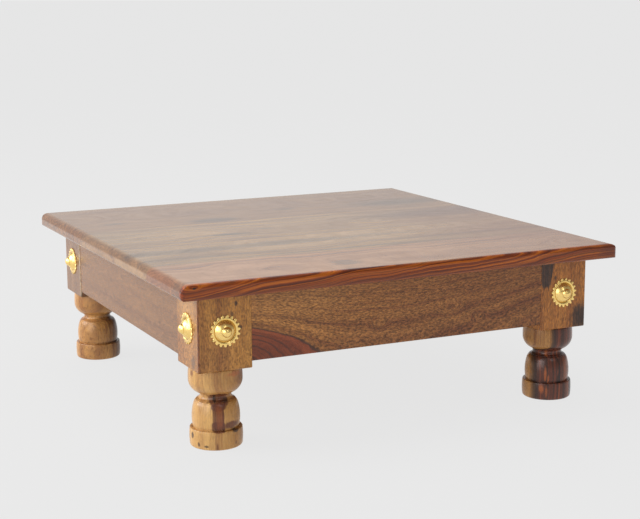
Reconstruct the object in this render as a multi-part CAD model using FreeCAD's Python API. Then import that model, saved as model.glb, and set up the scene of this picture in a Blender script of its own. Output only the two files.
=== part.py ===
import FreeCAD, Part
import math
import os

# A bajot, a low square table of sheesham wood, in millimetres.
# Four edge-glued boards make the top. Four rails are tenoned into four square posts,
# a turned leg is tenoned up into each post, and a toothed brass rosette is nailed to
# each outer face of the posts. Two cleats screwed to the side rails hold the top down.
# The origin is on the floor under the middle of the table, +X runs to the right along
# the front edge, the front faces -Y, and +Z is up.

# Whole table
table_height = 160.0
top_width = 457.0
top_depth = 457.0
top_overhang = 21.7            # the top's edge beyond the posts' outer faces

# Top
top_thickness = 14.3
top_corner_radius = 4.5        # seen from above
long_upper_radius = 3.5        # along the front and back edges
long_lower_radius = 2.0
end_upper_radius = 8.5         # across the boards' ends, on the left and right
end_lower_radius = 3.0
board_width_shares = (0.204, 0.208, 0.249, 0.339)    # from the front board to the back one

# Posts
post_side = 52.0
post_arris = 0.6               # softened edges

# Rails
rail_thickness = 20.0
rail_setback = 0.8             # the rails' outer faces behind the posts'
rail_lift = 6.0                # the rails' lower edges above the posts' lower ends
rail_arris = 0.6

# Mortise and tenon joints
tenon_thickness = 8.0
tenon_shoulder = 6.0           # on the rail, above and below the tenon
tenon_wall = 2.8               # wood between the end of a rail tenon and the rosette's nail
joint_wall = 2.0               # wood between the leg's bore and the rail tenons and nails
leg_tenon_length = 25.0
leg_tenon_chamfer = 1.5
glue_gap = 0.1                 # round the sides of each tenon
end_gap = 1.0                  # past the end of each tenon

# Turned leg, from the floor up
foot_height = 17.5
foot_radius = 24.6
foot_lower_chamfer = 1.6
foot_upper_chamfer = 0.7
groove_width = 1.5
groove_depth = 0.7             # cut into the barrel's lower end
barrel_height = 24.5
barrel_lower_radius = 21.6
barrel_swell = 0.5             # the belly beyond the lower end
barrel_upper_radius = 18.3
barrel_belly_share = 0.38      # of the barrel's height
neck_height = 6.5
neck_step = 0.9                # ledge between the barrel and the neck
neck_hollow = 2.4              # the waist inside the neck's upper end
neck_upper_radius = 16.8
neck_waist_share = 0.6         # of the neck's height
bowl_height = 24.5
bowl_radius = 24.9             # at its widest
bowl_taper = 0.5               # drawn in above its widest
bowl_chamfer = 1.3
bowl_belly_share = 0.54        # of the bowl's height

# Brass rosette, out from the post's face
rosette_lift = 0.9             # its middle above the middle of the post's face
rosette_sheet = 0.7
dome_radius = 10.0
dome_rise = 5.3
ring_width = 2.5               # from the dome to the roots of the teeth
ring_rise = 0.6                # the ring's crest above its edges
tooth_height = 2.1
tooth_count = 19

# Nail through each rosette, with a domed head whose rim sits down on the rosette's dome
nail_radius = 1.2
nail_point = 3.0
nail_head_radius = 4.9
nail_head_height = 3.7
nail_clearance = 0.1

# Cleats and their screws
cleat_side = 20.0
cleat_end_gap = 1.0            # between a cleat's ends and the posts
screw_radius = 2.0
screw_head_radius = 4.0
screw_point = 5.0
screw_cover = 4.0              # wood of the top left over a screw's point
screw_room = 7.0               # least distance from a screw to a seam or the cleat's end
screw_clearance = 0.1

overrun = 1.0                  # how far a cutting shape reaches past what it cuts

# Heights, places and sizes that follow from those above
leg_height = foot_height + groove_width + barrel_height + neck_height + bowl_height
top_underside = table_height - top_thickness
rosette_height = (leg_height + top_underside) / 2 + rosette_lift
frame_reach_x = top_width / 2 - top_overhang      # from the middle to the posts' outer faces
frame_reach_y = top_depth / 2 - top_overhang
post_x = frame_reach_x - post_side / 2
post_y = frame_reach_y - post_side / 2
rail_foot = leg_height + rail_lift
rail_inset = rail_setback + rail_thickness / 2    # the rails' middle behind the posts' faces
tenon_foot = rail_foot + tenon_shoulder
tenon_top = top_underside - tenon_shoulder
tenon_length = post_side / 2 - nail_radius - tenon_wall
tenon_cheek = post_side / 2 - rail_inset - tenon_thickness / 2    # from the post's axis
leg_tenon_radius = math.hypot(nail_radius + tenon_wall, tenon_cheek) - joint_wall
nail_depth = post_side / 2 - leg_tenon_radius - joint_wall
dome_curve = (dome_radius ** 2 + dome_rise ** 2) / (2 * dome_rise)
nail_head_curve = (nail_head_radius ** 2 + nail_head_height ** 2) / (2 * nail_head_height)
dome_centre = rosette_sheet + dome_rise - dome_curve    # its height over the post's face
rosette_hole = nail_radius + nail_clearance
cleat_length = 2 * (frame_reach_y - post_side - cleat_end_gap)
cleat_outer_x = frame_reach_x - rail_setback - rail_thickness
cleat_inner_x = cleat_outer_x - cleat_side
cleat_foot = top_underside - cleat_side
screw_length = cleat_side + top_thickness - screw_cover

along_x = FreeCAD.Vector(1, 0, 0)
along_y = FreeCAD.Vector(0, 1, 0)
along_z = FreeCAD.Vector(0, 0, 1)
origin = FreeCAD.Vector(0, 0, 0)


class Outline:
    """A closed chain of lines and arcs in the XZ plane, for a section or a turned shape."""

    def __init__(self, x, z):
        self.start = FreeCAD.Vector(x, 0, z)
        self.end = self.start
        self.edges = []

    def line(self, x, z):
        point = FreeCAD.Vector(x, 0, z)
        self.edges.append(Part.makeLine(self.end, point))
        self.end = point

    def arc(self, middle_x, middle_z, x, z):
        middle = FreeCAD.Vector(middle_x, 0, middle_z)
        point = FreeCAD.Vector(x, 0, z)
        self.edges.append(Part.Arc(self.end, middle, point).toShape())
        self.end = point

    def quarter(self, corner_x, corner_z, x, z):
        """A quarter circle to (x, z) that rounds off the corner (corner_x, corner_z)."""
        corner = FreeCAD.Vector(corner_x, 0, corner_z)
        chord_middle = (self.end + FreeCAD.Vector(x, 0, z)) / 2
        middle = corner + (chord_middle - corner) * (2 - math.sqrt(2))
        self.arc(middle.x, middle.z, x, z)

    def arc_ending_upright(self, x, z):
        """An arc, widening on the way up, whose tangent at (x, z) is the Z axis."""
        wider = x - self.end.x
        higher = z - self.end.z
        radius = (wider ** 2 + higher ** 2) / (2 * wider)
        half_angle = math.asin(higher / radius) / 2
        self.arc(x - radius + radius * math.cos(half_angle), z - radius * math.sin(half_angle), x, z)

    def arc_on_sphere(self, radius, centre_z, x):
        """An arc of a sphere round the point centre_z of the Z axis, to another distance x."""
        middle_x = (self.end.x + x) / 2
        middle_z = sphere_height(radius, centre_z, middle_x)
        self.arc(middle_x, middle_z, x, sphere_height(radius, centre_z, x))

    def face(self):
        self.line(self.start.x, self.start.z)
        return Part.Face(Part.Wire(self.edges))

    def turned(self):
        """The outline turned about the Z axis."""
        return self.face().revolve(origin, along_z, 360)


def sphere_height(radius, centre_z, x):
    return centre_z + math.sqrt(radius ** 2 - x ** 2)


def box(x_low, x_high, y_low, y_high, z_low, z_high):
    corner = FreeCAD.Vector(x_low, y_low, z_low)
    return Part.makeBox(x_high - x_low, y_high - y_low, z_high - z_low, corner)


def moved(shape, x, y, z):
    placed = shape.copy()
    placed.translate(FreeCAD.Vector(x, y, z))
    return placed


def rotated(shape, axis, degrees):
    placed = shape.copy()
    placed.rotate(origin, axis, degrees)
    return placed


def edges_between(shape, low, high):
    """The edges that lie wholly between two heights."""
    return [edge for edge in shape.Edges if edge.BoundBox.ZMin > low and edge.BoundBox.ZMax < high]


# Top: one moulded panel, sawn along its seams
def find_seams():
    """Y of the front edge, of each seam and of the back edge."""
    seams = [-top_depth / 2]
    for share in board_width_shares:
        seams.append(seams[-1] + top_depth * share / sum(board_width_shares))
    return seams


def round_edged_bar(width, length, lower_radius, upper_radius):
    """A bar as thick as the top, along Y, with rounded long edges."""
    half = width / 2
    section = Outline(-half, top_underside + lower_radius)
    section.quarter(-half, top_underside, lower_radius - half, top_underside)
    section.line(half - lower_radius, top_underside)
    section.quarter(half, top_underside, half, top_underside + lower_radius)
    section.line(half, table_height - upper_radius)
    section.quarter(half, table_height, half - upper_radius, table_height)
    section.line(upper_radius - half, table_height)
    section.quarter(-half, table_height, -half, table_height - upper_radius)
    return moved(section.face().extrude(along_y * length), 0, -length / 2, 0)


def make_top_panel():
    """The panel that the rounded ends, the rounded long edges and the corners leave."""
    panel = box(
        -top_width / 2, top_width / 2, -top_depth / 2, top_depth / 2,
        top_underside - overrun, table_height + overrun,
    )
    corners = [edge for edge in panel.Edges if edge.BoundBox.ZLength > top_thickness]
    panel = panel.makeFillet(top_corner_radius, corners)
    across = round_edged_bar(top_width, top_depth + 2 * overrun, end_lower_radius, end_upper_radius)
    along = round_edged_bar(top_depth, top_width + 2 * overrun, long_lower_radius, long_upper_radius)
    return panel.common(across).common(rotated(along, along_z, 90))


def make_top_boards(screw_holes):
    panel = make_top_panel()
    seams = find_seams()
    seams[0] -= overrun
    seams[-1] += overrun
    boards = []
    for front, back in zip(seams, seams[1:]):
        slab = box(
            -top_width / 2 - overrun, top_width / 2 + overrun, front, back,
            top_underside - overrun, table_height + overrun,
        )
        boards.append(panel.common(slab).cut(screw_holes))
    return boards


# Posts and rails
def make_post():
    """The front left post, with its axis on the Z axis."""
    half = post_side / 2
    post = box(-half, half, -half, half, leg_height, top_underside)
    eased = [edge for edge in post.Edges if edge.BoundBox.ZMin < leg_height + post_arris]
    post = post.makeChamfer(post_arris, eased)
    front_mortise = box(
        half - tenon_length - end_gap, half + overrun,
        -tenon_cheek - tenon_thickness - glue_gap, -tenon_cheek + glue_gap,
        tenon_foot - glue_gap, tenon_top + glue_gap,
    )
    side_mortise = front_mortise.mirror(origin, along_x - along_y)
    leg_bore = Part.makeCylinder(
        leg_tenon_radius + glue_gap,
        overrun + leg_tenon_length + end_gap,
        FreeCAD.Vector(0, 0, leg_height - overrun),
    )
    for cutter in (front_mortise, side_mortise, leg_bore):
        post = post.cut(cutter)
    for nail_hole in on_outer_faces(make_nail(nail_clearance)):
        post = post.cut(nail_hole)
    return post


def make_rail(span, reach):
    """The rail along the front, for a span between posts whose outer faces are at reach."""
    middle_y = -reach + rail_inset
    rail = box(
        -span / 2, span / 2, middle_y - rail_thickness / 2, middle_y + rail_thickness / 2,
        rail_foot, top_underside,
    )
    lower = edges_between(rail, rail_foot - overrun, rail_foot + rail_arris)
    rail = rail.makeChamfer(rail_arris, [edge for edge in lower if edge.BoundBox.XLength > span / 2])
    tenons = box(
        -span / 2 - tenon_length, span / 2 + tenon_length,
        middle_y - tenon_thickness / 2, middle_y + tenon_thickness / 2,
        tenon_foot, tenon_top,
    )
    return rail.fuse(tenons).removeSplitter()


# Turned leg
def make_leg():
    """The leg on the Z axis, with its tenon standing up into the post."""
    barrel_foot = foot_height + groove_width
    barrel_top = barrel_foot + barrel_height
    bowl_foot = barrel_top + neck_height
    bowl_rim = bowl_radius - bowl_taper
    leg_top = leg_height + leg_tenon_length

    leg = Outline(0, 0)
    leg.line(foot_radius - foot_lower_chamfer, 0)
    leg.line(foot_radius, foot_lower_chamfer)
    leg.line(foot_radius, foot_height - foot_upper_chamfer)
    leg.line(foot_radius - foot_upper_chamfer, foot_height)
    leg.line(barrel_lower_radius - groove_depth, foot_height)
    leg.line(barrel_lower_radius - groove_depth, barrel_foot)
    leg.line(barrel_lower_radius, barrel_foot)
    leg.arc(
        barrel_lower_radius + barrel_swell, barrel_foot + barrel_height * barrel_belly_share,
        barrel_upper_radius, barrel_top,
    )
    leg.line(barrel_upper_radius - neck_step, barrel_top)
    leg.arc(
        neck_upper_radius - neck_hollow, barrel_top + neck_height * neck_waist_share,
        neck_upper_radius, bowl_foot,
    )
    leg.arc_ending_upright(bowl_radius, bowl_foot + bowl_height * bowl_belly_share)
    leg.line(bowl_rim, leg_height - bowl_chamfer)
    leg.line(bowl_rim - bowl_chamfer, leg_height)
    leg.line(leg_tenon_radius, leg_height)
    leg.line(leg_tenon_radius, leg_top - leg_tenon_chamfer)
    leg.line(leg_tenon_radius - leg_tenon_chamfer, leg_top)
    leg.line(0, leg_top)
    return leg.turned()


# Rosettes and nails, made on the Z axis and then hung on the posts' outer faces
def make_rosette():
    """A stamped brass rosette: a hollow dome in a raised ring with pointed teeth."""
    inner_curve = dome_curve - rosette_sheet
    root_radius = dome_radius + ring_width
    tip_radius = root_radius + tooth_height

    sheet = Outline(math.sqrt(inner_curve ** 2 - dome_centre ** 2), 0)
    sheet.arc_on_sphere(inner_curve, dome_centre, rosette_hole)
    sheet.line(rosette_hole, sphere_height(dome_curve, dome_centre, rosette_hole))
    sheet.arc_on_sphere(dome_curve, dome_centre, dome_radius)
    sheet.line(root_radius, rosette_sheet + ring_rise)
    sheet.line(tip_radius, rosette_sheet)
    sheet.line(tip_radius, 0)
    sheet.line(root_radius, ring_rise)
    sheet.line(dome_radius, 0)

    points = []
    for step in range(2 * tooth_count + 1):
        radius = tip_radius if step % 2 == 0 else root_radius
        angle = math.pi * (step / tooth_count - 1 / 2)
        points.append(FreeCAD.Vector(radius * math.cos(angle), radius * math.sin(angle), -overrun))
    star = Part.Face(Part.makePolygon(points))
    blank = star.extrude(along_z * (rosette_sheet + dome_rise + 2 * overrun))
    return sheet.turned().common(blank)


def make_nail(gap):
    """The nail through a rosette, or its hole in the post when the shank is widened by a gap."""
    rim = sphere_height(dome_curve, dome_centre, nail_head_radius)

    nail = Outline(0, -nail_depth)
    nail.line(nail_radius + gap, nail_point - nail_depth)
    nail.line(nail_radius + gap, sphere_height(dome_curve, dome_centre, nail_radius + gap))
    nail.arc_on_sphere(dome_curve, dome_centre, nail_head_radius)
    nail.arc_on_sphere(nail_head_curve, rim + nail_head_height - nail_head_curve, 0)
    return nail.turned()


def on_outer_faces(shape):
    """The shape on the front and on the left face of a post that stands on the Z axis."""
    upright = rotated(shape, along_x, 90)
    front = moved(upright, 0, -post_side / 2, rosette_height)
    return [front, rotated(front, along_z, -90)]


# Cleats and screws
def make_cleat():
    """The cleat along the right rail."""
    half = cleat_length / 2
    return box(cleat_inner_x, cleat_outer_x, -half, half, cleat_foot, top_underside)


def make_screw(gap):
    """A countersunk screw with its head on the origin, or its hole when widened by a gap."""
    screw = Outline(0, 0)
    screw.line(screw_head_radius + gap, 0)
    screw.line(screw_radius + gap, screw_head_radius - screw_radius)
    screw.line(screw_radius + gap, screw_length - screw_point)
    screw.line(0, screw_length + gap)
    return screw.turned()


def place_screws(screw):
    """The screw at its places in the right cleat: one up into each board, others between."""
    seams = find_seams()
    upward = []
    for front, back in zip(seams, seams[1:]):
        low = max(front, -cleat_length / 2)
        high = min(back, cleat_length / 2)
        if high - low > 2 * screw_room:
            upward.append((low + high) / 2)
    placed = [moved(screw, cleat_outer_x - cleat_side / 2, y, cleat_foot) for y in upward]
    sideways = rotated(screw, along_y, 90)
    for first, second in zip(upward, upward[1:]):
        between = (first + second) / 2
        placed.append(moved(sideways, cleat_inner_x, between, cleat_foot + cleat_side / 2))
    return placed


def on_both_sides(shapes):
    """The shapes of the right side, and the same on the left."""
    return Part.makeCompound(shapes + [shape.mirror(origin, along_x) for shape in shapes])


def make_top_and_rails():
    nodes = {}
    screw_holes = on_both_sides(place_screws(make_screw(screw_clearance)))
    for number, board in enumerate(make_top_boards(screw_holes), start=1):
        nodes[f"top_board_{number}"] = board
    front_rail = make_rail(2 * (frame_reach_x - post_side), frame_reach_y)
    right_rail = make_rail(2 * (frame_reach_y - post_side), frame_reach_x)
    right_rail = rotated(right_rail, along_z, 90).cut(screw_holes)
    right_cleat = make_cleat().cut(screw_holes)
    nodes["front_rail"] = front_rail
    nodes["back_rail"] = front_rail.mirror(origin, along_y)
    nodes["right_rail"] = right_rail
    nodes["left_rail"] = right_rail.mirror(origin, along_x)
    nodes["right_cleat"] = right_cleat
    nodes["left_cleat"] = right_cleat.mirror(origin, along_x)
    nodes["cleat_screws"] = on_both_sides(place_screws(make_screw(0)))
    return nodes


def make_corners():
    """The four corners: each is the front left one, mirrored to its place."""
    post = make_post()
    leg = make_leg()
    end_rosette, side_rosette = on_outer_faces(make_rosette())
    nails = Part.makeCompound(on_outer_faces(make_nail(0)))
    nodes = {}
    all_nails = []
    for end, end_mirror in (("front", None), ("back", along_y)):
        for side, side_mirror in (("left", None), ("right", along_x)):
            corner = f"{end}_{side}"
            pieces = {
                f"{corner}_post": post,
                f"{corner}_leg": leg,
                f"{corner}_{end}_rosette": end_rosette,
                f"{corner}_{side}_rosette": side_rosette,
                "nails": nails,
            }
            for name, piece in pieces.items():
                placed = moved(piece, -post_x, -post_y, 0)
                for mirror in (end_mirror, side_mirror):
                    if mirror:
                        placed = placed.mirror(origin, mirror)
                if name == "nails":
                    all_nails += placed.Solids
                else:
                    nodes[name] = placed
    nodes["rosette_nails"] = Part.makeCompound(all_nails)
    return nodes


os.makedirs("parts", exist_ok=True)
for node, shape in {**make_top_and_rails(), **make_corners()}.items():
    shape.exportStep(f"parts/{node}.step")
    print(node, "solids", len(shape.Solids), "valid", shape.isValid())
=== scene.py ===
import math
from dataclasses import dataclass

import bmesh
import bpy
from mathutils import Matrix, Vector


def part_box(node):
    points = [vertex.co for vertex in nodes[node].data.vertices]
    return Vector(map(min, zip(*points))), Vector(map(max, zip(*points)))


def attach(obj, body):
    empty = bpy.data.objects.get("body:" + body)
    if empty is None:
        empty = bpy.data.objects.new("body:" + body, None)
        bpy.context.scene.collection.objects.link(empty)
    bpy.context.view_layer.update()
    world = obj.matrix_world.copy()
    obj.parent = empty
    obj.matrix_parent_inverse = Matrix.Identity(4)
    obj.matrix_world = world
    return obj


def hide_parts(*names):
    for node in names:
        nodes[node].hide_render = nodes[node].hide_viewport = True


# A bajot, a low square table of sheesham wood with turned legs and brass rosettes.
# Objects are in metres. Sizes are named in millimetres, as in the frame's own drawing.
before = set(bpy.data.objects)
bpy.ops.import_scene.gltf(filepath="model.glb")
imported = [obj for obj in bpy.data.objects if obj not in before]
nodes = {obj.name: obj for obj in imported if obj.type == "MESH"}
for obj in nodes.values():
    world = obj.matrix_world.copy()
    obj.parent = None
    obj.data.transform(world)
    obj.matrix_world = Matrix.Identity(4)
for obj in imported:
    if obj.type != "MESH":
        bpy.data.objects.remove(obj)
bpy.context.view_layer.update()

MM = 0.001
CORNERS = [(end, side) for end in ("front", "back") for side in ("left", "right")]

# Camera, at the photograph's viewing angle
camera_place = Vector((-0.64618, -1.37122, 0.41152))
camera_tilt = 79.301
camera_turn = -25.648
camera_roll = -0.285
camera_lens = 81.56
camera_sensor = 36.0
light_target = Vector((0, 0, 0.1))

# Studio: levels are linear, so that 0.8 shows as a light grey of 230
backdrop_level = 0.80
floor_glow = 0.76
floor_albedo = 0.045
floor_reach = 40.0
dim_level = 0.36               # the room on the right and behind the camera
bright_level = 0.86            # the room on the left, towards the back
bright_side = (-0.6, 0.7, 0.4)
bright_start = -0.3
bright_end = 0.6
pool_dim = 0.95                # what the floor sends back, away from the window and near it
pool_bright = 1.35
pool_side = (-0.75, 0.66, 0)
pool_start = 0.15
pool_end = 1.6
shade_level = 0.3              # of the floor's glow, under the middle of the table
shade_start = 0.05
shade_end = 0.3

# Turned leg: heights and radii in millimetres, and points of its outline as (radius, height)
foot_height = 17.5
foot_radius = 24.2
foot_swell = 0.4
foot_lower_round = 2.2
foot_upper_round = 1.0
groove_top = 19.0
groove_radius = 20.9
groove_dip = 0.2               # how far the foot's top slopes down into the groove
groove_rise = 0.3              # and how far the barrel's foot slopes up out of it
barrel_foot_radius = 21.5
barrel_belly = (22.1, 28.5)
barrel_shoulder = (20.3, 39.6)
barrel_edge = (19.3, 41.7)
barrel_top = (17.9, 43.4)
quirk_radius = 17.2
quirk_slope = 0.1
quirk_height = 0.5
neck_waist = (14.5, 47.8)
neck_top = (17.2, 50.4)
bowl_side = (22.5, 54.9)
bowl_belly = (24.9, 63.5)
bowl_flank = (24.8, 68.2)
bowl_shoulder = (24.4, 72.8)
bowl_round = 1.7
tenon_radius = 9.8
tenon_round = 1.5
leg_segments = 128

# Brass rosette: radii, and heights out from the post's face, in millimetres
tooth_count = 19
tooth_steps = 12
tooth_rings = 4
tooth_fullness = 1.6           # 1 makes the teeth as broad as their gaps, more makes them broader
tooth_gap = 0.08               # how far the sheet reaches between two teeth, of a tooth's length
dome_rings = 14
dome_radius = 9.7
groove_middle_radius = 10.0
groove_margin = 0.3
groove_tarnish = 0.5
edge_tarnish = 0.6
ring_inside = (10.7, 0.98)     # a point on the raised ring's inner slope, and on its outer one
ring_outside = (11.95, 1.14)
ring_crest_radius = 11.2
root_radius = 12.3
tip_radius = 14.6
sheet_height = 0.7
dome_rise = 5.3
groove_height = 0.5
ring_height = 1.2
root_height = 1.0
tooth_ridge = 0.8
tooth_edge = 0.2

# Nail head: a smaller dome that sits down on the rosette's
head_radius = 4.9
head_height = 3.7
head_sink = 1.09               # its rim below the top of the rosette's dome
head_neck = 4.6
head_neck_depth = 1.0
head_lip = 0.35
nail_segments = 64

# Meshes: points that are nearer than this, in millimetres, are one
merge_distance = 0.001

# Wood: the sizes of its features, along the grain and across it, in millimetres
sway_size = (120.0, 50.0)
lean_size = (90.0, 60.0)
ripple_size = (26.0, 12.0)
cloud_size = (80.0, 22.0)
wobble_size = (9.0, 4.0)
streak_widths = (1.6, 7.0)     # across the rings and along them
fleck_widths = (0.85, 2.6)
pore_length = 4.5
pore_widths = (0.6, 1.3)
speckles_per_mm = 0.4          # on end grain

# Wood: how strongly each feature shows
noise_span = (0.3, 0.7)        # where most of a noise's values lie
pore_span = (0.6, 0.7)         # only its peaks
line_span = (0.5, 0.64)
streak_span = (0.2, 0.6)
thin_line = 0.5                # what is left of a dark line where a streak thins it
speckle_span = (0.35, 0.65)
tone_spread = 0.13             # how far the rings' tones stray from the middle one
tone_places = (-1.3, -0.3, 0.6, 1.5)       # of a palette's colours, in spreads from the middle
bold_weights = (0.5, 0.3, 0.2)             # of broad rings, fine rings and streaks
line_strength = 0.8
rim_strength = 0.85
edge_contrast = 1.3
speckle_depth = 0.25
mark_grain = 0.6               # how much the fine rings thicken and thin a mark
light_fleck = 0.7              # a light fibre's share of the contrast of a dark one
pore_tint = (0.40, 0.31, 0.26, 1.0)
fleck_height = -0.5            # heights in the relief, as shares of its depth
pore_height = -0.6
relief_depth = 0.15
relief_strength = 0.6
noise_gain = 4.0               # makes a noise, less its middle, reach about 1

# Marks on the top's upper face: their height, and how deep they go
face_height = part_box("top_board_1")[1].z / MM
face_depth = 9.0

# Finishes
wood_roughness = 0.6
lacquer_grit = 0.03            # how much the lacquer's roughness varies
grit_span = (0.2, 0.8)
lacquer_ior = 1.4
brass_grit = 1.6               # grains per millimetre
brass_relief = 0.05
brass_relief_depth = 0.1
brass_roughness = (0.24, 0.34)
steel_roughness = (0.28, 0.42)


# Node-tree arithmetic
class Field:
    """A number, colour or vector that varies over a surface: a node's output, usable in sums."""

    def __init__(self, tree, socket):
        self.tree = tree
        self.socket = socket

    def math(self, operation, *others):
        return add_node(self.tree, "ShaderNodeMath", (self, *others), operation=operation)

    def __add__(self, other):
        return self.math("ADD", other)

    def __sub__(self, other):
        return self.math("SUBTRACT", other)

    def __rsub__(self, other):
        return (self * -1.0).math("ADD", other)

    def __mul__(self, other):
        return self.math("MULTIPLY", other)

    def __truediv__(self, other):
        return self.math("DIVIDE", other)

    __radd__ = __add__

    def smooth(self, low, high, to_low=0.0, to_high=1.0):
        """A soft step from one value to another between low and high."""
        inputs = {"Value": self, "From Min": low, "From Max": high, "To Min": to_low, "To Max": to_high}
        return add_node(self.tree, "ShaderNodeMapRange", inputs, interpolation_type="SMOOTHSTEP")


def add_node(tree, kind, inputs=(), output=0, **settings):
    """A node's output; each input is a constant or another field."""
    node = tree.nodes.new(kind)
    for name, value in settings.items():
        setattr(node, name, value)
    for key, value in inputs.items() if isinstance(inputs, dict) else enumerate(inputs):
        if isinstance(value, Field):
            tree.links.new(value.socket, node.inputs[key])
        else:
            node.inputs[key].default_value = value
    return Field(tree, node.outputs[output])


def vector(tree, x, y, z):
    return add_node(tree, "ShaderNodeCombineXYZ", (x, y, z))


def scaled(tree, place, scale):
    return add_node(tree, "ShaderNodeVectorMath", {0: place, "Scale": scale}, operation="SCALE")


def magnitude(tree, place):
    return add_node(tree, "ShaderNodeVectorMath", (place,), operation="LENGTH", output="Value")


def bump(tree, strength, depth, height):
    """A relief of so many millimetres."""
    inputs = {"Strength": strength, "Distance": depth * MM, "Height": height}
    return add_node(tree, "ShaderNodeBump", inputs)


def noise(tree, place, detail=2.0, roughness=0.5):
    inputs = {"Vector": place, "Scale": 1.0, "Detail": detail, "Roughness": roughness}
    return add_node(tree, "ShaderNodeTexNoise", inputs, noise_dimensions="3D")


def stripes(tree, place, detail=2.0, roughness=0.5):
    """Uneven bands along one number."""
    inputs = {"W": place, "Scale": 1.0, "Detail": detail, "Roughness": roughness}
    return add_node(tree, "ShaderNodeTexNoise", inputs, noise_dimensions="1D")


def blend_colours(tree, factor, first, second, kind="MIX"):
    """A mix of two colours, through the node's own sockets for colours."""
    node = tree.nodes.new("ShaderNodeMix")
    node.data_type = "RGBA"
    node.blend_type = kind
    for index, value in ((0, factor), (6, first), (7, second)):
        if isinstance(value, Field):
            tree.links.new(value.socket, node.inputs[index])
        else:
            node.inputs[index].default_value = value
    return Field(tree, node.outputs[2])


def ramp(tree, factor, stops):
    """Colours along a number, from a list of (position, colour)."""
    node = tree.nodes.new("ShaderNodeValToRGB")
    tree.links.new(factor.socket, node.inputs[0])
    elements = node.color_ramp.elements
    while len(elements) < len(stops):
        elements.new(1.0)
    for element, (position, tint) in zip(elements, stops):
        element.position = position
        element.color = tint
    return Field(tree, node.outputs[0])


def colour(red, green, blue):
    """A colour from the 0 to 255 values that a screen shows."""
    linear = []
    for value in (red, green, blue):
        share = value / 255
        linear.append(share / 12.92 if share <= 0.04045 else ((share + 0.055) / 1.055) ** 2.4)
    return (*linear, 1.0)


def new_material(name):
    material = bpy.data.materials.new(name)
    material.use_nodes = True
    tree = material.node_tree
    return material, tree, tree.nodes["Principled BSDF"]


def connect(tree, field, shader, socket):
    tree.links.new(field.socket, shader.inputs[socket])


def millimetres(tree):
    """The place in the frame, in millimetres, and its x, y and z."""
    place = scaled(tree, add_node(tree, "ShaderNodeTexCoord", output="Object"), 1 / MM)
    split = tree.nodes.new("ShaderNodeSeparateXYZ")
    tree.links.new(place.socket, split.inputs[0])
    return place, [Field(tree, socket) for socket in split.outputs]


def along(tree, place, direction):
    """How far a place lies in a direction."""
    unit = Vector(direction).normalized()
    return add_node(tree, "ShaderNodeVectorMath", (place, unit), operation="DOT_PRODUCT", output="Value")


def spot(tree, place, centre, radii, blunt=False):
    """The distance from a centre, in radii: 1 on the surface of the ellipsoid, or of a blunter body."""
    offset = add_node(tree, "ShaderNodeVectorMath", (place, centre), operation="SUBTRACT")
    offset = add_node(tree, "ShaderNodeVectorMath", (offset, radii), operation="DIVIDE")
    if not blunt:
        return magnitude(tree, offset)
    squares = add_node(tree, "ShaderNodeVectorMath", (offset, offset), operation="MULTIPLY")
    return magnitude(tree, squares).math("SQRT")


# Wood
def tone_ramp(tree, tone, colours, contrast):
    """A palette's colours along the tone of the rings."""
    spread = tone_spread / contrast
    places = [min(0.5 + place * spread, 1.0) for place in tone_places]
    return ramp(tree, tone, list(zip(places, colours)))


def tones(red, green, blue):
    """A palette round a middling colour, from the lightest wood to the darkest line."""
    shares = ((1.13, 1.15, 1.2), (1.0, 1.0, 1.0), (0.84, 0.79, 0.8), (0.6, 0.52, 0.58))
    return tuple(colour(red * r, green * g, blue * b) for r, g, b in shares)


TOP_BROWN = tones(141, 105, 72)
TOP_TAN = tones(153, 120, 83)
TOP_ROSE = tones(162, 120, 86)
EDGE_ORANGE = (colour(184, 98, 18), colour(154, 74, 10), colour(124, 50, 6), colour(84, 32, 4))
RAIL_GOLD = tones(166, 111, 56)
POST_GOLD = tones(176, 122, 58)
POST_BROWN = tones(174, 112, 50)
RAIL_BROWN = tones(134, 91, 51)
POST_DULL = tones(128, 90, 58)
LEG_GOLD = tones(208, 162, 98)
LEG_TAN = tones(168, 120, 66)
LEG_AMBER = tones(190, 139, 80)
RED_BROWN = tones(138, 68, 38)
DARK_RED = (colour(150, 80, 48), colour(106, 56, 40), colour(74, 44, 36), colour(46, 34, 31))
CLEAT = tones(188, 154, 108)
# a sapwood tone that also stands in for a painted highlight
SAPWOOD_AND_SHEEN = colour(196, 158, 112)
# painted light for a post's narrow step beside a rail
PALE_STEP_LIGHT = colour(206, 186, 160)
ORANGE = colour(170, 92, 46)
LIGHT_GOLD = colour(188, 140, 84)
# painted shade for the near leg's right side
OCHRE_SHADE = colour(146, 90, 30)
PLUM = colour(98, 54, 38)
UMBER = colour(118, 70, 48)
# painted shade for a leg's right side
DARK_UMBER_SHADE = colour(84, 50, 30)
MAROON = colour(90, 42, 28)
BLUE_BROWN = colour(72, 60, 56)
DARK = colour(58, 42, 36)
BLACK = colour(40, 31, 29)
AXES = {"X": (0, 1, 2), "Y": (1, 0, 2), "Z": (2, 0, 1)}     # along a grain, and the two across it


def weighted(fields, weights):
    return sum(field * weight for field, weight in zip(fields, weights))


@dataclass
class Mark:
    """A tint inside an ellipsoid: a knot, a dark streak, a patch of another tone, or painted light and
    shade.
    """

    place: tuple
    radii: tuple
    tint: tuple
    strength: float = 0.8
    soft: float = 0.2
    wobble: float = 0.9            # how far its border wanders, in radii
    blunt: bool = False            # with square ends, as a streak has


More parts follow.
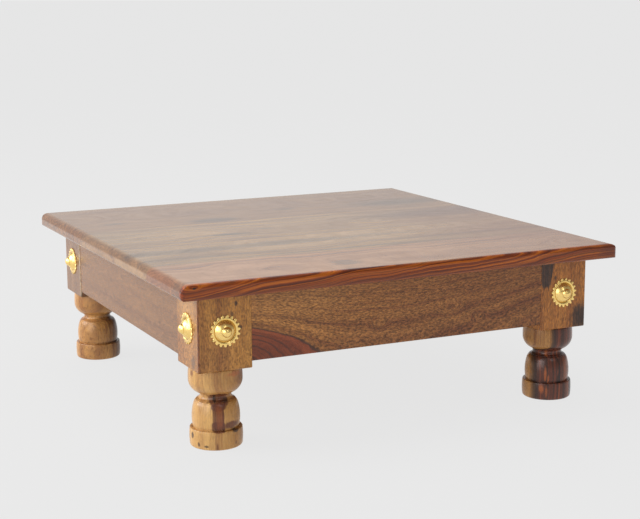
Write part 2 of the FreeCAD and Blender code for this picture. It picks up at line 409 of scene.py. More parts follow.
@dataclass
class Wood:
    """A solid wood: growth rings round a pith, with fibres, pores, heartwood and marks.

    Places are (x, y, z) in millimetres. The rings are counted outwards from the pith.
    """

    grain: str                     # the axis that the fibres run along
    pith: tuple
    outer: tuple
    inner: tuple = RED_BROWN       # inside the radius heart
    heart: float = None
    rim: float = 1.5               # the heartwood's dark border
    calm: float = 1.0              # how much of the flecks and pores is left in the heartwood
    nose: tuple = None             # (start, length, reach): rings that close along the grain, as arches
    climb: tuple = None            # (start, rate): rings that rise along the grain past a place
    shift: tuple = None            # (start, end, amount): rings that step aside along the grain
    edge: tuple = None             # (colours, y, depth): another tone just inside the front edge
    slant: float = 0.0             # how fast the edge's layers climb along the grain
    turns: tuple = ()              # (place, radii, amount): where the edge's tone goes further in, or less
    eyes: tuple = ()               # (place, radii, rise): bumps in the rings
    marks: tuple = ()
    seed: float = 0.0              # moves the pattern, so that no two pieces share one
    sway: float = 2.5              # how far the rings wander, in long waves and in short ones
    ripple: float = 0.6
    broad: float = 8.0             # the spacing of broad rings, and of fine ones
    fine: float = 1.8
    weights: tuple = (0.3, 0.25, 0.25, 0.2)    # of broad rings, fine rings, streaks and clouds
    contrast: float = 1.0          # between the tones of the rings
    flecks: float = 0.25           # how strongly the short fibres show
    fleck_length: float = 4.0
    streak_length: float = 40.0
    pores: float = 0.5             # how dark the pores are
    line_gap: float = 2.7          # the spacing of the dark lines in the heart and the front edge
    polish: float = 0.28           # the lacquer's roughness
    ends: tuple = (0.5, 0.95)      # end grain: the slopes of a surface where it starts and is full
    end_shade: tuple = (0.84, 0.78, 0.74)

    def stretched(self, tree, axes, along_grain, across):
        """The place, measured in the size of a feature."""
        first, second, third = axes
        return vector(tree, first / along_grain + self.seed, second / across + self.seed, third / across)

    def rings(self, tree, place, axes):
        """The distance from the pith, in millimetres, bent as a real tree's rings are.

        The second distance leaves out the climb and the eyes: it bounds the heartwood.
        """
        first, second, third = axes
        pith = [self.pith[index] for index in AXES[self.grain]]
        sway = noise(tree, self.stretched(tree, axes, *sway_size), detail=1.0)
        lean = noise(tree, self.stretched(tree, axes, *lean_size), detail=1.0)
        ripple = noise(tree, self.stretched(tree, axes, *ripple_size), detail=3.0, roughness=0.6)
        second = second - pith[1] + (sway - 0.5) * (noise_gain * self.sway)
        third = third - pith[2] + (lean - 0.5) * (noise_gain * self.sway)
        squares = second * second + third * third
        if self.nose:
            start, length, reach = self.nose
            closing = ((first - start) / length).math("TANH") * reach
            squares = squares + closing * closing
        distance = squares.math("SQRT") + (ripple - 0.5) * (noise_gain * self.ripple)
        if self.shift:
            start, end, amount = self.shift
            distance = distance + first.smooth(start, end, 0.0, amount)
        core = distance
        if self.climb:
            start, rate = self.climb
            past = (first - start).math("MAXIMUM", 0.0)
            distance = distance - past * past * rate
        for centre, radii, rise in self.eyes:
            distance = distance + spot(tree, place, centre, radii).smooth(1.0, 0.0) * rise
        return distance, core

    def layers(self, tree, axes, distance):
        """Broad rings, fine rings and streaks along the grain."""
        first, _, third = axes
        broad = stripes(tree, distance / self.broad + self.seed, detail=1.0)
        fine = stripes(tree, distance / self.fine + self.seed, detail=3.0, roughness=0.65)
        through, round_pith = streak_widths
        lengthwise = first / self.streak_length + self.seed
        streaks = noise(tree, vector(tree, lengthwise, distance / through, third / round_pith))
        return broad, fine, streaks

    def bold_paint(self, tree, distance, layers, colours, contrast, line):
        """Stronger colours than the plain wood's, with the late wood's dark lines."""
        paint = tone_ramp(tree, weighted(layers, bold_weights), colours, contrast)
        late = stripes(tree, distance / self.line_gap + self.seed, detail=1.0).smooth(*line_span)
        late = late * layers[2].smooth(*streak_span, thin_line, 1.0)
        return blend_colours(tree, late * line_strength, paint, line)

    def paint_rings(self, tree, place, axes, distance, core):
        """The colours of the rings, with the heartwood and the front edge's own tones."""
        first, second, _ = axes
        layers = self.layers(tree, axes, distance)
        cloud = noise(tree, self.stretched(tree, axes, *cloud_size))
        paint = tone_ramp(tree, weighted((*layers, cloud), self.weights), self.outer, self.contrast)
        if self.edge:
            colours, start, depth = self.edge
            inwards = second - start
            for centre, radii, amount in self.turns:
                inwards = inwards - spot(tree, place, centre, radii).smooth(1.0, 0.0) * amount
            near = inwards.smooth(depth, 0.5 * depth)
            layered = distance - first * self.slant
            edge_layers = self.layers(tree, axes, layered)
            edge_paint = self.bold_paint(tree, layered, edge_layers, colours, edge_contrast, colours[-1])
            paint = blend_colours(tree, near, paint, edge_paint)
        if self.heart is not None:
            inside = core.smooth(self.heart + 0.5, self.heart - 0.5)
            heart_paint = self.bold_paint(tree, distance, layers, self.inner, self.contrast, DARK)
            paint = blend_colours(tree, inside, paint, heart_paint)
            rim = (core - self.heart).math("ABSOLUTE").smooth(self.rim, 0.2 * self.rim)
            paint = blend_colours(tree, rim * rim_strength, paint, DARK)
        return paint

    def shade_ends(self, tree, place, paint):
        """Darkens and mottles the end grain, where the fibres run into the surface."""
        normal = add_node(tree, "ShaderNodeNewGeometry", output="Normal")
        grain_axis = [1.0 if index == AXES[self.grain][0] else 0.0 for index in range(3)]
        cover = along(tree, normal, grain_axis).math("ABSOLUTE").smooth(*self.ends)
        speckle = noise(tree, scaled(tree, place, speckles_per_mm))
        shares = (1 + speckle_depth, 1 - speckle_depth)
        light, dark = ([value * share for value in self.end_shade] + [1.0] for share in shares)
        tone = blend_colours(tree, speckle.smooth(*speckle_span), light, dark)
        return blend_colours(tree, cover, paint, tone, "MULTIPLY")

    def add_marks(self, tree, place, axes, paint, fine):
        """Tints the marks; each wanders at its border and is thicker on some fine rings."""
        wobble = noise(tree, self.stretched(tree, axes, *wobble_size))
        for mark in self.marks:
            near = spot(tree, place, mark.place, mark.radii, mark.blunt) + (wobble - 0.5) * mark.wobble
            grain = (fine - 0.5) * mark_grain + 1.0
            cover = near.smooth(1.0 + mark.soft, 1.0 - mark.soft) * mark.strength * grain
            paint = blend_colours(tree, cover.math("MINIMUM", 1.0), paint, mark.tint)
        return paint

    def fibres(self, tree, axes, distance):
        """Short light and dark fibres, and the open pores between them."""
        first, _, third = axes
        through, round_pith = fleck_widths
        lengthwise = first / self.fleck_length + self.seed
        flecks = noise(tree, vector(tree, lengthwise, distance / through, third / round_pith), detail=1.0)
        through, round_pith = pore_widths
        lengthwise = first / pore_length - self.seed
        pores = noise(tree, vector(tree, lengthwise, distance / through, third / round_pith), detail=0.0)
        return flecks, pores.smooth(*pore_span)

    def add_fibres(self, tree, paint, core, flecks, pores):
        """Shades the paint with the fibres and pores, more calmly inside the heartwood."""
        rough = 1.0
        if self.heart is not None:
            rough = core.smooth(self.heart - 0.5, self.heart + 0.5, self.calm, 1.0)
        shade = flecks.smooth(*noise_span, 1 + light_fleck * self.flecks, 1 - self.flecks)
        paint = blend_colours(tree, rough, paint, blend_colours(tree, 1.0, paint, shade, "MULTIPLY"))
        return blend_colours(tree, pores * self.pores * rough, paint, pore_tint, "MULTIPLY")

    def build(self, name):
        """The whole material: the painted wood and its relief under a coat of lacquer."""
        material, tree, shader = new_material(name)
        place, frame_axes = millimetres(tree)
        axes = [frame_axes[index] for index in AXES[self.grain]]
        distance, core = self.rings(tree, place, axes)
        flecks, pores = self.fibres(tree, axes, distance)
        paint = self.paint_rings(tree, place, axes, distance, core)
        paint = self.shade_ends(tree, place, paint)
        paint = self.add_marks(tree, place, axes, paint, self.layers(tree, axes, distance)[1])
        paint = self.add_fibres(tree, paint, core, flecks, pores)
        connect(tree, paint, shader, "Base Color")
        relief = flecks * fleck_height + pores * pore_height
        connect(tree, bump(tree, relief_strength * self.flecks, relief_depth, relief), shader, "Normal")
        shader.inputs["Roughness"].default_value = wood_roughness
        shader.inputs["Specular IOR Level"].default_value = 0.0
        shader.inputs["Coat Weight"].default_value = 1.0
        shader.inputs["Coat IOR"].default_value = lacquer_ior
        grit = flecks.smooth(*grit_span, self.polish - lacquer_grit, self.polish + lacquer_grit)
        connect(tree, grit, shader, "Coat Roughness")
        return material


def on_leg(corner, sideways, height, radius):
    """The place on a leg's surface that the camera sees so far to the right of the leg's axis."""
    axis = leg_axis(*corner)
    towards = Vector((camera_place.x - axis.x, camera_place.y - axis.y, 0)).normalized()
    right = Vector((-towards.y, towards.x, 0))
    outwards = math.sqrt(max(radius ** 2 - sideways ** 2, 0))
    place = axis / MM + right * sideways + towards * outwards
    return (place.x, place.y, height)


def leg_axis(end, side):
    """Where a leg's axis meets the floor."""
    low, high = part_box(f"{end}_{side}_leg")
    return Vector(((low.x + high.x) / 2, (low.y + high.y) / 2, 0))


def face_mark(x, y, length, width, strength, soft=0.5, tint=BLUE_BROWN):
    """A streak or a patch on the top's upper face."""
    return Mark((x, y, face_height), (length, width, face_depth), tint, strength, soft)


def top_woods():
    """The top's boards from the front one to the back one."""
    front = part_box("top_board_1")[0].y / MM
    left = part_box("top_board_1")[0].x / MM
    plank = {
        "grain": "X", "polish": 0.19, "ripple": 0.5, "flecks": 0.05, "fleck_length": 16.0,
        "contrast": 0.75, "streak_length": 90.0, "pores": 0.15, "weights": (0.35, 0.15, 0.25, 0.25),
        "ends": (0.15, 0.6), "end_shade": (0.71, 0.59, 0.5),
    }
    return {
        "top_board_1": Wood(
            **plank, outer=TOP_ROSE, pith=(0, -190, 62), edge=(EDGE_ORANGE, front, 8.0), slant=0.08,
            turns=(((left, front, 153), (8, 12, 12), 5.0),
                   ((30, front, face_height), (110, 20, 20), -4.0)),
            sway=4.0, broad=2.7, fine=1.2, line_gap=1.7, seed=3.1,
            eyes=(((-217, front, 157), (9, 6, 3.5), 3.5),),
            marks=(Mark((-217, front, 157), (1.7, 3, 1.1), BLACK, 0.95, 0.4),
                   face_mark(-55, -195, 14, 12, 0.5),
                   # the front edge's purplish lower band, darkened further as painted shade under the edge
                   Mark((0, front, 146), (300, 7, 4.2), PLUM, 0.5, 0.4),
                   Mark((left, -168, 155), (9, 34, 7), UMBER, 0.45, 0.4),
                   Mark((left, -212, 152), (10, 10, 12), BLUE_BROWN, 0.35, 0.5),
                   face_mark(215, -150, 110, 80, 0.4, 0.8, UMBER),
                   Mark((224, -225, 155), (16, 10, 8), MAROON, 0.6, 0.5)),
        ),
        "top_board_2": Wood(
            **plank, outer=TOP_TAN, pith=(0, -60, 20), sway=4.0, broad=10.0, fine=3.0, seed=8.4,
            marks=(face_mark(-100, -72, 170, 11, 0.5, 0.6),
                   face_mark(-180, -108, 100, 3, 0.4),
                   face_mark(-20, -126, 110, 3, 0.4),
                   face_mark(170, -104, 110, 4, 0.45),
                   face_mark(215, -90, 110, 70, 0.65, 0.8, UMBER),
                   # a pale strip along the left end's lower rounding: a sapwood tone with a painted
                   # highlight of the floor's light
                   Mark((left, -86, 151.3), (6, 50, 3.2), SAPWOOD_AND_SHEEN, 0.3, 0.2, 1.0, True),
                   face_mark(left, -90, 70, 70, 0.2, 0.8)),
        ),
        "top_board_3": Wood(
            **plank, outer=TOP_TAN, pith=(0, 10, 90), sway=3.5, broad=9.0, fine=2.6, seed=14.9,
            eyes=(((260, 26, face_height), (175, 38, 30), 16.0),),
            marks=(face_mark(-90, -3, 24, 5, 0.7),
                   face_mark(205, 30, 120, 26, 0.6, 0.6),
                   face_mark(215, 0, 120, 70, 0.5, 0.8, UMBER),
                   face_mark(-45, 15, 11, 3, 0.6),
                   # a pale strip along the left end's lower rounding: a sapwood tone with a painted
                   # highlight of the floor's light
                   Mark((left, 16, 150.3), (6, 60, 2.0), SAPWOOD_AND_SHEEN, 0.16, 0.25, 1.2, True),
                   face_mark(left, 20, 70, 70, 0.2, 0.8)),
        ),
        "top_board_4": Wood(
            **plank, outer=TOP_BROWN, pith=(0, 170, 70), sway=5.0, broad=12.0, fine=3.2, seed=21.7,
            marks=(face_mark(-72, 91, 27, 12, 0.65),
                   face_mark(-178, 115, 13, 5, 0.6),
                   face_mark(30, 127, 12, 5, 0.5),
                   face_mark(172, 118, 60, 22, 0.55, 0.6)),
        ),
    }


def rail_woods():
    """The front rail with its dark heart, whose rings close as arches, and the plainer others."""
    return {
        "front_rail": Wood(
            "X", (0, -206, 75), RAIL_GOLD, heart=37.0, nose=(-165, 60, 43), climb=(-40, 0.0004), sway=1.2,
            ripple=0.9, broad=5.0, fine=1.5, seed=5.5, rim=0.8, flecks=0.44, fleck_length=2.8, pores=0.7,
            contrast=0.95, line_gap=5.0, calm=0.35,
            eyes=(((-26, -206, 100), (16, 12, 8), 5.0), ((52, -206, 108), (22, 12, 10), 7.0),
                  ((82, -206, 100), (14, 12, 9), -5.0)),
            marks=(Mark((150, -206, 104), (190, 40, 80), MAROON, 0.45, 0.9),
                   Mark((-125, -206, 138), (60, 20, 22), LIGHT_GOLD, 0.25, 0.9),
                   Mark((-10, -206, 88), (60, 20, 12), MAROON, 0.25, 0.9),
                   Mark((-160, -206, 78), (50, 20, 20), MAROON, 0.5, 0.9)),
        ),
        "left_rail": Wood("Y", (-150, 0, 40), RAIL_BROWN, sway=2.5, broad=7.0, fine=1.6, contrast=0.45,
                          seed=31.3, flecks=0.26, fleck_length=7.0),
        "back_rail": Wood("X", (0, 250, 60), RAIL_BROWN, sway=3.0, ripple=0.7, broad=7.0, seed=41.9),
        "right_rail": Wood("Y", (260, 0, 100), RAIL_GOLD, sway=3.0, ripple=0.7, broad=7.0, seed=47.2),
    }


def post_woods():
    """The square posts, with their specks, dark corners and the front right one's dark patch; painted light
    and shade on the front left one's left face, and a painted light line on the back left one's step.
    """
    return {
        "front_left_post": Wood(
            "Z", (-120, -150, 0), POST_GOLD, sway=2.0, seed=2.7, flecks=0.3, fleck_length=2.4, pores=0.6,
            contrast=0.6, fine=1.5,
            # painted light and shade on the left face: lighter under the top's overhang, darker low down
            marks=(Mark((-207, -178, 140), (3, 22, 24), LIGHT_GOLD, 0.7, 0.7),
                   Mark((-207, -180, 82), (3, 22, 20), UMBER, 0.3, 0.8),
                   Mark((-207, -194, 82), (4, 5, 6), BLUE_BROWN, 0.6, 0.5),
                   Mark((-170, -207, 135), (1.2, 2, 2.2), DARK, 0.8, 0.4),
                   Mark((-174, -207, 126), (1.2, 2, 2.2), DARK, 0.7, 0.4),
                   Mark((-166, -207, 113), (1.6, 2, 1.6), DARK, 0.7, 0.4),
                   Mark((-207, -207, 110), (1.8, 1.8, 60), UMBER, 0.75, 0.4),
                   Mark((-190, -207, 85), (15, 8, 18), UMBER, 0.3, 0.8)),
        ),
        "front_right_post": Wood(
            "Z", (240, -260, 0), POST_BROWN, sway=2.0, seed=12.2, pores=0.6, contrast=0.8, flecks=0.32,
            marks=(Mark((160, -207, 146), (9.0, 9, 29), DARK, 0.95, 0.08, 0.5),
                   Mark((171, -207, 127), (1.5, 2, 2.2), DARK, 0.8, 0.4),
                   Mark((201, -207, 84), (10, 10, 13), DARK, 0.85, 0.3),
                   Mark((202, -207, 84), (5, 8, 8), BLACK, 0.6, 0.5)),
        ),
        "back_left_post": Wood("Z", (-150, 120, 0), POST_DULL, sway=2.0, seed=22.8, contrast=0.6,
                               # painted light: a pale line on the post's narrow step beside the left rail
                               marks=(Mark((-207, 154, 110), (2, 1.6, 60), PALE_STEP_LIGHT, 1.0, 0.4),)),
        "back_right_post": Wood("Z", (130, 140, 0), POST_BROWN, sway=2.0, seed=28.1),
    }


def leg_woods():
    """The turned legs: the near one's dark plume, and the front right one's heartwood half; painted shade
    on the near and back left ones' right sides, the near one's bowl and its left edge.
    """
    near = ("front", "left")
    far = ("front", "right")
    hind = ("back", "left")
    return {
        near: Wood(
            "Z", (-260, -120, 0), LEG_GOLD, sway=2.0, broad=9.0, fine=1.6, contrast=0.7, seed=1.3,
            flecks=0.12, pores=0.25,
            # painted shade: the next three marks darken the leg's right side, its bowl's right side and its
            # left edge
            marks=(Mark(on_leg(near, 19, 40, 24), (18, 18, 90), OCHRE_SHADE, 0.6, 0.7),
                   Mark(on_leg(near, 24, 64, 24), (14, 14, 16), UMBER, 0.6, 0.8),
                   Mark(on_leg(near, -24, 40, 24), (7, 7, 90), UMBER, 0.25, 0.6),
                   Mark(on_leg(near, 2.4, 46, 15), (8.2, 9, 6.0), MAROON, 0.85, 0.1, 0.2, True),
                   Mark(on_leg(near, 2.6, 39.5, 20), (6.8, 8, 3.6), MAROON, 0.8, 0.15, 0.3),
                   Mark(on_leg(near, 2.6, 31, 22), (5.0, 7, 12.0), PLUM, 0.85, 0.08, 0.2, True),
                   Mark(on_leg(near, 2.6, 21.5, 22), (6.0, 7, 5.0), PLUM, 0.85, 0.1, 0.3, True),
                   Mark(on_leg(near, 3.4, 30, 22), (2.6, 5, 12.0), ORANGE, 0.35, 0.5, 0.3, True),
                   Mark(on_leg(near, -1.5, 45, 15), (1.3, 4, 5), BLACK, 0.8, 0.4),
                   Mark(on_leg(near, 8, 44, 15), (3, 4, 3), DARK, 0.7, 0.4),
                   # painted shade: the bowl darker under the post above it
                   Mark(on_leg(near, 4, 64, 24), (16, 12, 12), UMBER, 0.22, 0.9),
                   Mark(on_leg(near, 14, 22.5, 22), (8, 8, 3.2), MAROON, 0.85, 0.3),
                   Mark(on_leg(near, 18, 17, 24), (4, 4, 2), DARK, 0.85, 0.3),
                   Mark(on_leg(near, -21, 12, 24), (2.2, 2.2, 3), DARK, 0.8, 0.4),
                   Mark(on_leg(near, -15.5, 5, 24), (1.3, 1.6, 2.2), DARK, 0.8, 0.4),
                   Mark(on_leg(near, -9, 4, 24), (2, 2, 1.2), DARK, 0.8, 0.4),
                   Mark(on_leg(near, 1, 4, 24), (0.9, 0.9, 4), MAROON, 0.7, 0.4),
                   Mark(on_leg(near, 17.5, 6, 24), (1, 1, 2), MAROON, 0.7, 0.4),
                   Mark(on_leg(near, -20.6, 70, 24), (2.2, 2.4, 2.4), UMBER, 0.7, 0.4),
                   Mark(on_leg(near, 17, 70, 24), (8, 6, 2.2), ORANGE, 0.6, 0.4)),
        ),
        far: Wood(
            "Z", (229, -214, 30), LEG_TAN, inner=DARK_RED, heart=73.0, shift=(48, 55, 16), sway=0.8,
            broad=5.0, fine=2.0, seed=6.6, rim=4.0, flecks=0.15, pores=0.3, contrast=0.8,
            marks=(Mark(on_leg(far, 11.5, 20, 20), (2.2, 3, 24), BLACK, 0.9, 0.3),
                   Mark(on_leg(far, 17, 25, 20), (3.5, 4, 22), ORANGE, 0.35, 0.6),
                   Mark(on_leg(far, -1, 26, 22), (1.0, 2, 8), ORANGE, 0.75, 0.5),
                   Mark(on_leg(far, 2, 20, 22), (0.8, 2, 5), ORANGE, 0.7, 0.5),
                   Mark(on_leg(far, -5, 12, 24), (2.0, 3, 4), ORANGE, 0.75, 0.5),
                   Mark(on_leg(far, 0, 9, 24), (1.0, 3, 6), ORANGE, 0.6, 0.5),
                   Mark(on_leg(far, -1, 46, 15), (1.4, 3, 4), ORANGE, 0.7, 0.5)),
        ),
        hind: Wood(
            "Z", (-120, 260, 0), LEG_AMBER, sway=2.0, broad=7.0, seed=9.9, flecks=0.12, contrast=0.8,
            # painted shade: the leg's right side darker, turned away from the light, under the table
            marks=(Mark(on_leg(hind, 23, 40, 23), (20, 20, 90), DARK_UMBER_SHADE, 1.0, 0.8),
                   Mark(on_leg(hind, 9, 30, 20), (1.4, 3, 16), UMBER, 0.5, 0.5)),
        ),
        ("back", "right"): Wood("Z", (250, 220, 0), LEG_TAN, heart=84.0, sway=2.0, seed=17.4, rim=3.0),
    }


def cleat_woods():
    """The plain cleats under the top."""
    return {
        f"{side}_cleat": Wood("Y", (0, 0, 60), CLEAT, sway=3.0, fine=2.0, seed=seed)
        for side, seed in (("left", 51.0), ("right", 55.5))
    }


# Brass and steel
BRASS_LIGHT = colour(240, 208, 134)
BRASS_DEEP = colour(230, 194, 116)
BRASS_TARNISH = colour(140, 98, 44)
ZINC_LIGHT = colour(196, 192, 176)
ZINC_DEEP = colour(160, 158, 150)


def brass_material():
    """Polished brass, brown where the tarnish attribute of the mesh says so."""
    material, tree, shader = new_material("brass")
    place = millimetres(tree)[0]
    cloud = noise(tree, place, detail=3.0)
    grit = noise(tree, scaled(tree, place, brass_grit), detail=3.0)
    tarnish = add_node(tree, "ShaderNodeAttribute", output="Fac", attribute_name="tarnish")
    paint = blend_colours(tree, cloud.smooth(*noise_span), BRASS_LIGHT, BRASS_DEEP)
    paint = blend_colours(tree, tarnish, paint, BRASS_TARNISH)
    connect(tree, paint, shader, "Base Color")
    connect(tree, cloud.smooth(*noise_span, *brass_roughness), shader, "Roughness")
    connect(tree, bump(tree, brass_relief, brass_relief_depth, grit), shader, "Normal")
    shader.inputs["Metallic"].default_value = 1.0
    return material


def steel_material():
    material, tree, shader = new_material("zinc_plated_steel")
    cloud = noise(tree, millimetres(tree)[0], detail=3.0)
    paint = blend_colours(tree, cloud.smooth(*noise_span), ZINC_LIGHT, ZINC_DEEP)
    connect(tree, paint, shader, "Base Color")
    connect(tree, cloud.smooth(*noise_span, *steel_roughness), shader, "Roughness")
    shader.inputs["Metallic"].default_value = 1.0
    return material


# Meshes
def finish_piece(bm, name, material, replaced, sharp_degrees=35.0):
    """The mesh as a piece that rides on the frame and stands for a CAD node."""
    bmesh.ops.remove_doubles(bm, verts=bm.verts, dist=merge_distance * MM)
    bmesh.ops.recalc_face_normals(bm, faces=bm.faces)
    mesh = bpy.data.meshes.new(name)
    bm.to_mesh(mesh)
    bm.free()
    mesh.materials.append(material)
    for face in mesh.polygons:
        face.use_smooth = True
    mesh.set_sharp_from_angle(angle=math.radians(sharp_degrees))
    piece = bpy.data.objects.new(name, mesh)
    bpy.context.scene.collection.objects.link(piece)
    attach(piece, "root")
    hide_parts(replaced)


def arc_points(start, middle, end, steps):
    """Points along the arc through three points, after the first of them."""
    (ax, ay), (bx, by), (cx, cy) = start, middle, end
    twist = 2 * (ax * (by - cy) + bx * (cy - ay) + cx * (ay - by))
    squares = [px * px + py * py for px, py in (start, middle, end)]
    ox = (squares[0] * (by - cy) + squares[1] * (cy - ay) + squares[2] * (ay - by)) / twist
    oy = (squares[0] * (cx - bx) + squares[1] * (ax - cx) + squares[2] * (bx - ax)) / twist
    radius = math.hypot(ax - ox, ay - oy)
    first = math.atan2(ay - oy, ax - ox)
    turn = math.atan2(cy - oy, cx - ox) - first
    through = (math.atan2(by - oy, bx - ox) - first) % math.tau
    turn %= math.tau
    if through > turn:
        turn -= math.tau
    angles = [first + turn * step / steps for step in range(1, steps + 1)]
    return [(ox + radius * math.cos(angle), oy + radius * math.sin(angle)) for angle in angles]


def round_point(radius, angle, height):
    return Vector((radius * math.cos(angle), radius * math.sin(angle), height))


def lathe(bm, profile, segments, place):
    """Turns a profile of (radius, height) about an axis; place puts it in the frame."""
    rows = []
    for radius, height in profile:
        if radius == 0:
            rows.append([bm.verts.new(place @ Vector((0, 0, height)))])
            continue
        angles = [math.tau * step / segments for step in range(segments)]
        rows.append([bm.verts.new(place @ round_point(radius, angle, height)) for angle in angles])
    skin_rows(bm, rows, segments)


def skin_rows(bm, rows, segments):
    """Faces between rings of points, where a ring can also be one point on the axis."""
    for lower, upper in zip(rows, rows[1:]):
        for step in range(segments):
            following = (step + 1) % segments
            if len(lower) == 1:
                bm.faces.new((lower[0], upper[step], upper[following]))
            elif len(upper) == 1:
                bm.faces.new((lower[step], lower[following], upper[0]))
            else:
                bm.faces.new((lower[step], lower[following], upper[following], upper[step]))


def foot_profile():
    """(radius, height) up the foot, from its middle to its upper edge."""
    inset = 1 - math.sqrt(0.5)
    lower = foot_lower_round
    upper = foot_upper_round
    rim = foot_height - upper
    points = [(0, 0), (foot_radius - lower, 0)]
    points += arc_points(points[-1], (foot_radius - lower * inset, lower * inset), (foot_radius, lower), 6)
    points += arc_points(points[-1], (foot_radius + foot_swell, (lower + rim) / 2), (foot_radius, rim), 8)
    corner = (foot_radius - upper * inset, foot_height - upper * inset)
    points += arc_points(points[-1], corner, (foot_radius - upper, foot_height), 4)
    return points


def leg_profile(leg_height, leg_top):
    """(radius, height) up the leg, from the middle of its foot to the top of its tenon."""
    points = foot_profile()
    points += [(groove_radius, foot_height - groove_dip), (groove_radius, groove_top)]
    points += [(barrel_foot_radius, groove_top + groove_rise)]
    points += arc_points(points[-1], barrel_belly, barrel_shoulder, 16)
    points += arc_points(points[-1], barrel_edge, barrel_top, 5)
    quirk_foot = barrel_top[1]
    points += [(quirk_radius, quirk_foot + quirk_slope), (quirk_radius, quirk_foot + quirk_height)]
    points += arc_points(points[-1], neck_waist, neck_top, 14)
    points += arc_points(points[-1], bowl_side, bowl_belly, 14)
    points += arc_points(points[-1], bowl_flank, bowl_shoulder, 6)
    shoulder_radius, shoulder_height = bowl_shoulder
    inset = 1 - math.sqrt(0.5)
    corner = (shoulder_radius - bowl_round * inset, leg_height - (leg_height - shoulder_height) * inset)
    points += arc_points(points[-1], corner, (shoulder_radius - bowl_round, leg_height), 5)
    points += [(tenon_radius, leg_height), (tenon_radius, leg_top - tenon_round)]
    points += [(tenon_radius - tenon_round, leg_top), (0, leg_top)]
    return points


def make_legs():
    """Turned legs, each cut from its own piece of wood."""
    woods = leg_woods()
    for end, side in CORNERS:
        node = f"{end}_{side}_leg"
        leg_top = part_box(node)[1].z / MM
        leg_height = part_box(f"{end}_{side}_post")[0].z / MM
        bm = bmesh.new()
        place = Matrix.Translation(leg_axis(end, side)) @ Matrix.Scale(MM, 4)
        lathe(bm, leg_profile(leg_height, leg_top), leg_segments, place)
        material = woods[(end, side)].build(f"{node}_wood")
        finish_piece(bm, f"{end}_{side}_turned_leg", material, node, sharp_degrees=40.0)


def rosette_profile():
    """(radius, height) from the middle of the dome out to the roots of the teeth."""
    curve = (dome_radius ** 2 + dome_rise ** 2) / (2 * dome_rise)
    foot = sheet_height + dome_rise - curve
    points = []
    for step in range(dome_rings + 1):
        radius = dome_radius * step / dome_rings
        points.append((radius, foot + math.sqrt(curve ** 2 - radius ** 2)))
    points.append((groove_middle_radius, groove_height))
    crest = (ring_crest_radius, ring_height)
    points += arc_points(points[-1], ring_inside, crest, 4)
    points += arc_points(crest, ring_outside, (root_radius, root_height), 3)
    return points


def tooth_length(tooth):
    """How far the sheet reaches past the teeth's roots: tooth is 0 in a gap and 1 on a tooth's middle."""
    return (tip_radius - root_radius) * (tooth_gap + (1 - tooth_gap) * tooth)


def tooth_point(tooth, share):
    """(radius, height) on the sheet's face, a share of the way from the roots to its edge."""
    crest = tooth_edge + (tooth_ridge - tooth_edge) * tooth
    return root_radius + tooth_length(tooth) * share, root_height + (crest - root_height) * share


def outward_place(node, seat):
    """Turns a shape made along Z outwards, on a rosette's back (seat 0) or its front (seat 1)."""
    low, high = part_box(node)
    centre = (low + high) / 2
    axis = 0 if high.x - low.x < high.y - low.y else 1
    outward = Vector((0, 0, 0))
    outward[axis] = 1 if centre[axis] > 0 else -1
    faces = (low, high) if outward[axis] > 0 else (high, low)
    centre[axis] = faces[seat][axis]
    up = Vector((0, 0, 1))
    turn = Matrix((up.cross(outward), up, outward)).transposed().to_4x4()
    return Matrix.Translation(centre) @ turn @ Matrix.Scale(MM, 4)


def make_rosette(name, node, material):
    """A stamped sheet: a dome in a raised ring with ridged teeth, one of which points down."""
    place = outward_place(node, seat=0)
    segments = tooth_count * tooth_steps
    bm = bmesh.new()
    tarnish = bm.verts.layers.float.new("tarnish")
    rows = []

    def add_row(reach, shade=0.0):
        """One ring of points; reach gives (radius, height) from how near a point is to a tooth's middle."""
        row = []
        for step in range(segments):
            angle = math.tau * step / segments - math.pi / 2
            rise = abs(2 * (step % tooth_steps) / tooth_steps - 1)
            tooth = 1 - (1 - rise * rise * (3 - 2 * rise)) ** tooth_fullness
            radius, height = reach(tooth)
            vertex = bm.verts.new(place @ round_point(radius, angle, height))
            vertex[tarnish] = shade
            row.append(vertex)
        rows.append(row)

    profile = rosette_profile()
    rows.append([bm.verts.new(place @ Vector((0, 0, profile[0][1])))])
    for radius, height in profile[1:]:
        in_groove = abs(radius - groove_middle_radius) < groove_margin
        add_row(lambda tooth: (radius, height), groove_tarnish if in_groove else 0.0)
    for ring in range(1, tooth_rings + 1):
        add_row(lambda tooth: tooth_point(tooth, ring / tooth_rings))
    add_row(lambda tooth: (root_radius + tooth_length(tooth), 0.0), edge_tarnish)
    rows.append([bm.verts.new(place @ Vector((0, 0, 0)))])
    skin_rows(bm, rows, segments)
    finish_piece(bm, name, material, node, sharp_degrees=38.0)


def nail_profile():
    """(radius, height) of a nail's head, measured from the top of the rosette's dome."""
    rim = -head_sink
    curve = (head_radius ** 2 + head_height ** 2) / (2 * head_height)
    middle_radius = head_radius * math.sqrt(0.5)
    middle = rim + head_height - curve + math.sqrt(curve ** 2 - middle_radius ** 2)
    points = [(0, rim - head_neck_depth), (head_neck, rim - head_neck_depth), (head_neck, rim)]
    points += [(head_radius, rim + head_lip)]
    points += arc_points(points[-1], (middle_radius, middle), (0.0, rim + head_height), 14)
    points[-1] = (0, rim + head_height)         # exactly on the axis
    return points


def make_nails(material):
    """All the nail heads, as one piece, each on its rosette's dome."""
    bm = bmesh.new()
    for node in sorted(nodes):
        if node.endswith("rosette"):
            lathe(bm, nail_profile(), nail_segments, outward_place(node, seat=1))
    bm.verts.layers.float.new("tarnish")
    finish_piece(bm, "nail_heads", material, "rosette_nails", sharp_degrees=50.0)


def make_brass():
    material = brass_material()
    for node in sorted(nodes):
        if node.endswith("rosette"):
            make_rosette(node.replace("rosette", "toothed_rosette"), node, material)
    make_nails(material)


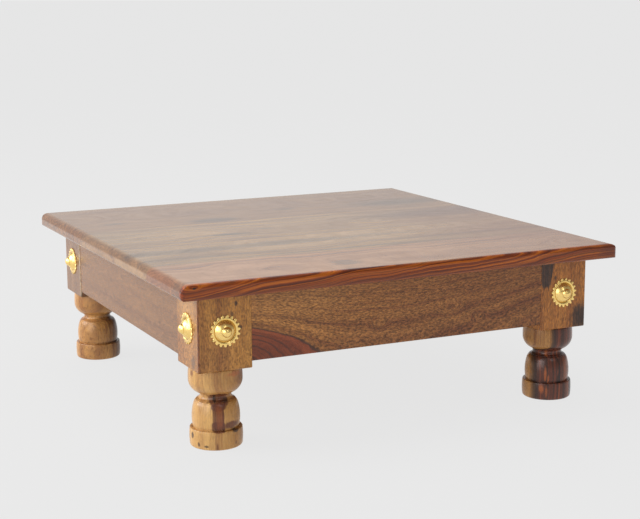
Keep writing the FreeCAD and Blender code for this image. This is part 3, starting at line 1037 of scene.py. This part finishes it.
def dress(woods):
    """Gives wooden CAD nodes their finish."""
    for node, wood in woods.items():
        nodes[node].material_slots[0].material = wood.build(f"{node}_wood")


def make_wood():
    """Everything wooden, and the screws that hold it."""
    for woods in (top_woods(), rail_woods(), post_woods(), cleat_woods()):
        dress(woods)
    make_legs()
    nodes["cleat_screws"].material_slots[0].material = steel_material()


# Studio
def make_floor():
    """A floor that the camera sees as plain grey, and that lights the table from below."""
    bm = bmesh.new()
    bmesh.ops.create_circle(bm, cap_ends=True, segments=64, radius=floor_reach)
    mesh = bpy.data.meshes.new("floor")
    bm.to_mesh(mesh)
    bm.free()
    floor = bpy.data.objects.new("floor", mesh)
    bpy.context.scene.collection.objects.link(floor)
    material, tree, shader = new_material("floor_paint")
    place = add_node(tree, "ShaderNodeTexCoord", output="Object")
    seen = add_node(tree, "ShaderNodeLightPath", output="Is Camera Ray")
    pool = along(tree, place, pool_side).smooth(pool_start, pool_end, pool_dim, pool_bright)
    pool = pool * magnitude(tree, place).smooth(shade_start, shade_end, shade_level, 1.0)
    glow = pool + seen * (floor_glow - pool)
    shader.inputs["Base Color"].default_value = (floor_albedo, floor_albedo, floor_albedo, 1.0)
    shader.inputs["Roughness"].default_value = 1.0
    shader.inputs["Specular IOR Level"].default_value = 0.0
    shader.inputs["Emission Color"].default_value = (1.0, 1.0, 1.0, 1.0)
    connect(tree, glow, shader, "Emission Strength")
    mesh.materials.append(material)


def make_room():
    """A soft room, brighter on the left and at the back, that shows as plain grey."""
    world = bpy.data.worlds.new("room")
    bpy.context.scene.world = world
    world.use_nodes = True
    tree = world.node_tree
    direction = add_node(tree, "ShaderNodeTexCoord", output="Generated")
    seen = add_node(tree, "ShaderNodeLightPath", output="Is Camera Ray")
    level = along(tree, direction, bright_side).smooth(bright_start, bright_end, dim_level, bright_level)
    level = level + seen * (backdrop_level - level)
    tree.links.new(level.socket, tree.nodes["Background"].inputs["Strength"])
    tree.nodes["Background"].inputs["Color"].default_value = (1.0, 1.0, 1.0, 1.0)


def make_light(name, place, size, power, diffuse=True):
    """A soft panel turned towards the table; without diffuse it only shows as a highlight."""
    light = bpy.data.lights.new(name, "AREA")
    light.shape = "RECTANGLE"
    light.size, light.size_y = size
    light.energy = power
    lamp = bpy.data.objects.new(name, light)
    lamp.location = place
    lamp.visible_diffuse = diffuse
    lamp.rotation_euler = (light_target - Vector(place)).to_track_quat("-Z", "Y").to_euler()
    bpy.context.scene.collection.objects.link(lamp)


def make_studio():
    """The room, the floor, the lamps and the camera."""
    bpy.context.scene.view_settings.view_transform = "Standard"
    make_room()
    make_floor()
    make_light("window", place=(-2.2, 0.9, 1.1), size=(1.8, 1.4), power=45.0)
    make_light("overhead", place=(-0.2, 0.3, 2.2), size=(1.6, 1.6), power=16.0)
    make_light("front", place=(-1.75, -1.55, 0.7), size=(0.6, 1.0), power=6.0)
    make_light("sheen", place=(-2.15, -0.8, 1.05), size=(1.1, 2.0), power=28.0, diffuse=False)
    make_light("glint", place=(0.1, -2.2, 1.5), size=(0.5, 0.9), power=5.0, diffuse=False)
    make_camera()


def make_camera():
    """A camera turned about Z, tilted up from straight down, and rolled."""
    scene = bpy.context.scene
    camera = bpy.data.cameras.new("camera")
    camera.lens = camera_lens
    camera.sensor_width = camera_sensor
    eye = bpy.data.objects.new("camera", camera)
    turns = ((camera_turn, "Z"), (camera_tilt, "X"), (camera_roll, "Z"))
    turn, tilt, roll = (Matrix.Rotation(math.radians(degrees), 4, axis) for degrees, axis in turns)
    eye.matrix_world = Matrix.Translation(camera_place) @ turn @ tilt @ roll
    scene.collection.objects.link(eye)
    scene.camera = eye


make_studio()
make_wood()
make_brass()
